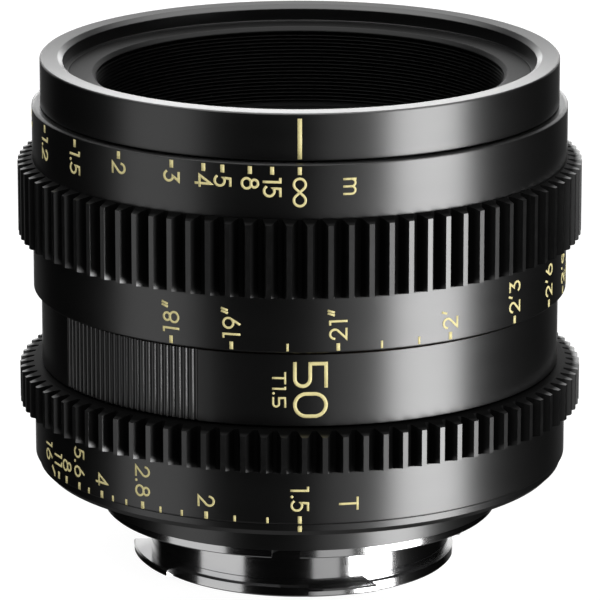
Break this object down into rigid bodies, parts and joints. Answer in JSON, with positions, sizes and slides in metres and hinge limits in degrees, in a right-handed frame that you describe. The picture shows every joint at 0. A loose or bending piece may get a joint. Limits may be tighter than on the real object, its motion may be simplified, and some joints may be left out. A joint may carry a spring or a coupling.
{
  "type": "cinema prime lens",
  "caption": "Manual cinema prime lens with geared focus and iris rings, a moving lens block with a bladed iris, and a rangefinder-type bayonet.",
  "frame": {"origin": "on the optical axis, in the plane of the bayonet flange's rear seating face", "axes": "+Z along the optical axis towards the front of the lens; -Y towards the index line; +X completes the right-handed frame"},
  "size_m": [0.0728, 0.0728, 0.0667],
  "materials": {
    "chrome": "polished chrome-plated brass",
    "index_bead": "gloss",
    "satin_black": "black anodised, satin, finely turned",
    "gear_black": "black anodised, satin",
    "light_trap_black": "black anodised, matte",
    "screw_black": "blackened steel",
    "guide_aluminium": "hard anodised, greased",
    "bronze": "plain bronze",
    "brass": "machined",
    "steel": "ground steel",
    "coated_glass": "polished, anti-reflection coated",
    "blade_black": "matte blackened spring steel"
  },
  "bodies": {
    "barrel": {"bayonet_mount": "chrome", "mount_screws": "chrome", "mount_bead": "index_bead", "rear_barrel": "satin_black", "rear_barrel_screws": "screw_black", "guide_barrel": "guide_aluminium", "grip_barrel": "satin_black", "grip_screws": "screw_black", "rear_washer": "bronze", "front_washer": "bronze", "front_ring": "satin_black", "front_baffle": "light_trap_black"},
    "focus_ring": {"focus_ring": "satin_black", "focus_gear": "gear_black", "distance_ring": "satin_black", "cam_tube": "brass", "focus_screws": "screw_black", "focus_stop_pin": "steel"},
    "lens_block": {"lens_tube": "light_trap_black", "cam_followers": "brass", "front_cell": "light_trap_black", "front_retainer": "light_trap_black", "element_1": "coated_glass", "element_2": "coated_glass", "element_3": "coated_glass", "group_retainer": "light_trap_black", "iris_housing": "light_trap_black", "rear_cell": "light_trap_black", "rear_cell_screws": "screw_black", "element_4": "coated_glass", "element_5": "coated_glass", "element_6": "coated_glass", "rear_spacer": "light_trap_black", "rear_retainer": "light_trap_black"},
    "iris_ring": {"iris_ring": "satin_black", "iris_gear": "gear_black", "iris_drive_pin": "steel"},
    "iris_cam": {"iris_cam_ring": "steel"},
    "iris_blade_1": {"iris_blade_1": "blade_black"},
    "iris_blade_2": {"iris_blade_2": "blade_black"},
    "iris_blade_3": {"iris_blade_3": "blade_black"},
    "iris_blade_4": {"iris_blade_4": "blade_black"},
    "iris_blade_5": {"iris_blade_5": "blade_black"},
    "iris_blade_6": {"iris_blade_6": "blade_black"},
    "iris_blade_7": {"iris_blade_7": "blade_black"},
    "iris_blade_8": {"iris_blade_8": "blade_black"},
    "iris_blade_9": {"iris_blade_9": "blade_black"},
    "iris_blade_10": {"iris_blade_10": "blade_black"}
  },
  "joints": [
    {"name": "focus_turn", "type": "hinge", "parent": "barrel", "child": "focus_ring", "pos_m": [0, 0, 0.04], "axis": [0, 0, 1], "range_deg": [0, 207]},
    {"name": "focus_slide", "type": "slide", "parent": "barrel", "child": "lens_block", "axis": [0, 0, 1], "range_m": [0, 0.0073]},
    {"name": "iris_turn", "type": "hinge", "parent": "barrel", "child": "iris_ring", "pos_m": [0, 0, 0.013], "axis": [0, 0, 1], "range_deg": [0, 68]},
    {"name": "iris_cam_turn", "type": "hinge", "parent": "lens_block", "child": "iris_cam", "pos_m": [0, 0, 0.018], "axis": [0, 0, 1], "range_deg": [0, 68]},
    {"name": "blade_1_pivot", "type": "hinge", "parent": "lens_block", "child": "iris_blade_1", "pos_m": [0.0206, 0, 0.02], "axis": [0, 0, 1], "range_deg": [0, 37]},
    {"name": "blade_2_pivot", "type": "hinge", "parent": "lens_block", "child": "iris_blade_2", "pos_m": [0.01667, 0.01211, 0.02], "axis": [0, 0, 1], "range_deg": [0, 37]},
    {"name": "blade_3_pivot", "type": "hinge", "parent": "lens_block", "child": "iris_blade_3", "pos_m": [0.00637, 0.01959, 0.02], "axis": [0, 0, 1], "range_deg": [0, 37]},
    {"name": "blade_4_pivot", "type": "hinge", "parent": "lens_block", "child": "iris_blade_4", "pos_m": [-0.00637, 0.01959, 0.02], "axis": [0, 0, 1], "range_deg": [0, 37]},
    {"name": "blade_5_pivot", "type": "hinge", "parent": "lens_block", "child": "iris_blade_5", "pos_m": [-0.01667, 0.01211, 0.02], "axis": [0, 0, 1], "range_deg": [0, 37]},
    {"name": "blade_6_pivot", "type": "hinge", "parent": "lens_block", "child": "iris_blade_6", "pos_m": [-0.0206, 0, 0.02], "axis": [0, 0, 1], "range_deg": [0, 37]},
    {"name": "blade_7_pivot", "type": "hinge", "parent": "lens_block", "child": "iris_blade_7", "pos_m": [-0.01667, -0.01211, 0.02], "axis": [0, 0, 1], "range_deg": [0, 37]},
    {"name": "blade_8_pivot", "type": "hinge", "parent": "lens_block", "child": "iris_blade_8", "pos_m": [-0.00637, -0.01959, 0.02], "axis": [0, 0, 1], "range_deg": [0, 37]},
    {"name": "blade_9_pivot", "type": "hinge", "parent": "lens_block", "child": "iris_blade_9", "pos_m": [0.00637, -0.01959, 0.02], "axis": [0, 0, 1], "range_deg": [0, 37]},
    {"name": "blade_10_pivot", "type": "hinge", "parent": "lens_block", "child": "iris_blade_10", "pos_m": [0.01667, -0.01211, 0.02], "axis": [0, 0, 1], "range_deg": [0, 37]}
  ],
  "couplings": [
    {"joint": "focus_slide", "follows": "focus_turn", "m_per_rad": 0.0020206},
    {"joint": "iris_cam_turn", "follows": "iris_turn", "ratio": 1},
    {"joint": "blade_1_pivot", "follows": "iris_turn", "ratio": 0.54412},
    {"joint": "blade_2_pivot", "follows": "iris_turn", "ratio": 0.54412},
    {"joint": "blade_3_pivot", "follows": "iris_turn", "ratio": 0.54412},
    {"joint": "blade_4_pivot", "follows": "iris_turn", "ratio": 0.54412},
    {"joint": "blade_5_pivot", "follows": "iris_turn", "ratio": 0.54412},
    {"joint": "blade_6_pivot", "follows": "iris_turn", "ratio": 0.54412},
    {"joint": "blade_7_pivot", "follows": "iris_turn", "ratio": 0.54412},
    {"joint": "blade_8_pivot", "follows": "iris_turn", "ratio": 0.54412},
    {"joint": "blade_9_pivot", "follows": "iris_turn", "ratio": 0.54412},
    {"joint": "blade_10_pivot", "follows": "iris_turn", "ratio": 0.54412}
  ]
}
